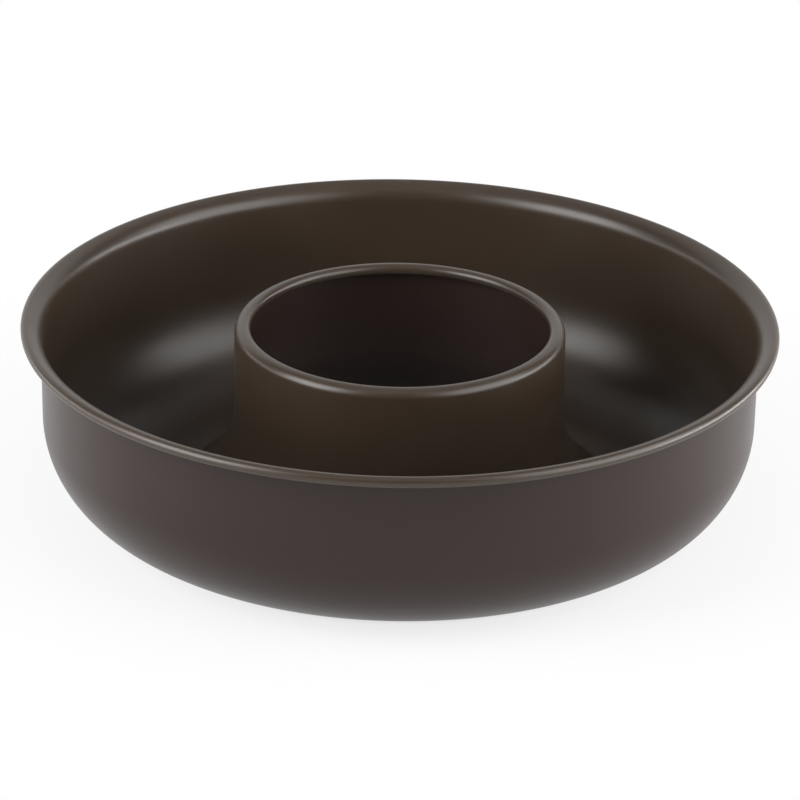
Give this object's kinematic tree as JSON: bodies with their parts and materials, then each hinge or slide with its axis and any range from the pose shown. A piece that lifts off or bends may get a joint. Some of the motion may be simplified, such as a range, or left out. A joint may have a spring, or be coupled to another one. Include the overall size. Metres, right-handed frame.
{
  "type": "savarin mould",
  "caption": "Ring-shaped baking mould of thin coated steel with a rounded trough, a rolled outer rim and an open centre tube with a rolled lip.",
  "frame": {"origin": "centre of the standing face, on the ring's axis", "axes": "+Z along the ring's axis, towards the open side; X and Y are any two directions across the ring"},
  "size_m": [0.24, 0.24, 0.063],
  "materials": {
    "coat": "satin dark brown non-stick coat on steel",
    "wire": "plain drawn steel wire"
  },
  "bodies": {
    "root": {"ring_pan": "coat", "centre_tube": "coat", "rim_wire": "wire", "tube_wire": "wire"}
  },
  "joints": []
}
